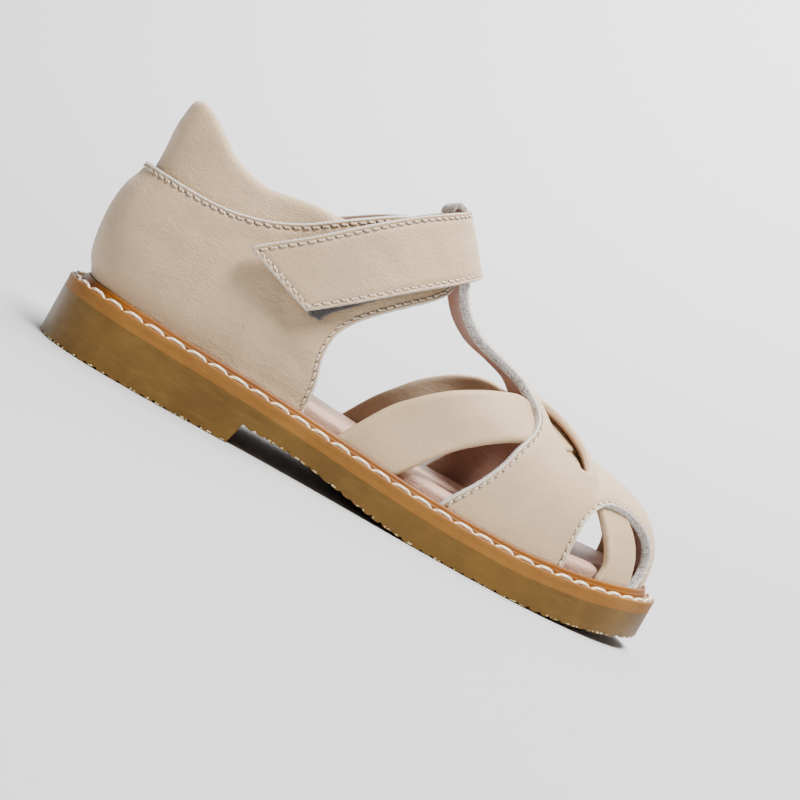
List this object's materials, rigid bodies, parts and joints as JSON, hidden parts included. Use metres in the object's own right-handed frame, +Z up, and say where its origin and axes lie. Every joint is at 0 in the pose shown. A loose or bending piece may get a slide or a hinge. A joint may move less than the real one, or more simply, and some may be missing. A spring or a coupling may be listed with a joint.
{
  "type": "leather sandal",
  "caption": "Right-foot T-bar leather sandal with crossing toe bands, padded heel collar, instep strap and a low-heeled rubber sole.",
  "frame": {"origin": "on the floor, under the middle of the sole's length and width", "axes": "+X from heel to toe, +Y to the inner (medial) side, +Z up"},
  "size_m": [0.168, 0.066, 0.0761],
  "materials": {
    "upper_leather": "matte",
    "collar_leather": "matte",
    "footbed_leather": "matte",
    "welt_leather": "satin",
    "midsole_rubber": "matte",
    "outsole_rubber": "satin",
    "hook_tape": "matte"
  },
  "bodies": {
    "root": {"outsole": "outsole_rubber", "midsole": "midsole_rubber", "welt": "welt_leather", "insole": "footbed_leather", "upper": "upper_leather", "collar": "collar_leather", "closure_tape": "hook_tape"}
  },
  "joints": []
}
